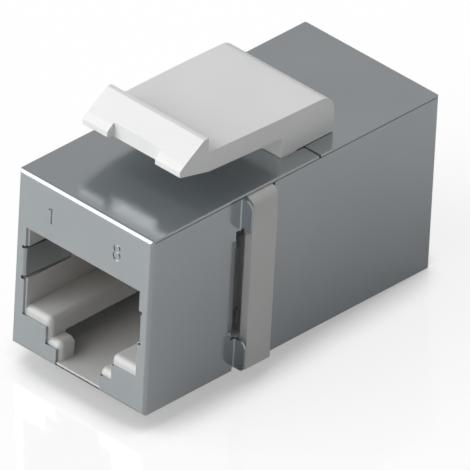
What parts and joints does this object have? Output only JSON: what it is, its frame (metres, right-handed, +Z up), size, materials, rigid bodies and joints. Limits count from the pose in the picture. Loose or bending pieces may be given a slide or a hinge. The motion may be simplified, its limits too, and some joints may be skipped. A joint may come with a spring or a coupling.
{
  "type": "keystone coupler",
  "caption": "Shielded in-line coupler that snaps into a keystone panel cut-out and joins modular plugs end to end, with a sprung latch on top and a fixed hook below.",
  "frame": {"origin": "on the panel seat, the plane of the grounding fins that the panel's rear face meets, at the middle of the body's underside", "axes": "+Z up towards the latch, +Y back through the coupler away from the panel's front, +X to the right seen from the front"},
  "size_m": [0.0168, 0.0324, 0.0229],
  "materials": {
    "shell_metal": "nickel-plated sheet, satin bright",
    "housing_plastic": "moulded white, fine matt texture",
    "latch_plastic": "moulded white, satin",
    "carrier_plastic": "moulded dark grey, matt",
    "contact_metal": "gold-plated spring wire",
    "board": "green solder mask"
  },
  "bodies": {
    "coupler_body": {"front_shell": "shell_metal", "rear_shell": "shell_metal", "front_housing": "housing_plastic", "rear_housing": "housing_plastic", "latch_base": "latch_plastic", "front_contact_carrier": "carrier_plastic", "rear_contact_carrier": "carrier_plastic", "front_comb": "carrier_plastic", "rear_comb": "carrier_plastic", "circuit_board": "board", "front_contact_1": "contact_metal", "front_contact_2": "contact_metal", "front_contact_3": "contact_metal", "front_contact_4": "contact_metal", "front_contact_5": "contact_metal", "front_contact_6": "contact_metal", "front_contact_7": "contact_metal", "front_contact_8": "contact_metal", "rear_contact_1": "contact_metal", "rear_contact_2": "contact_metal", "rear_contact_3": "contact_metal", "rear_contact_4": "contact_metal", "rear_contact_5": "contact_metal", "rear_contact_6": "contact_metal", "rear_contact_7": "contact_metal", "rear_contact_8": "contact_metal"},
    "latch": {"latch_arm": "latch_plastic"}
  },
  "joints": [
    {"name": "latch_press", "type": "hinge", "parent": "coupler_body", "child": "latch", "pos_m": [0, 0.00709, 0.01873], "axis": [1, 0, 0], "range_deg": [0, 13.5], "stiffness_Nm_per_rad": 0.3}
  ]
}
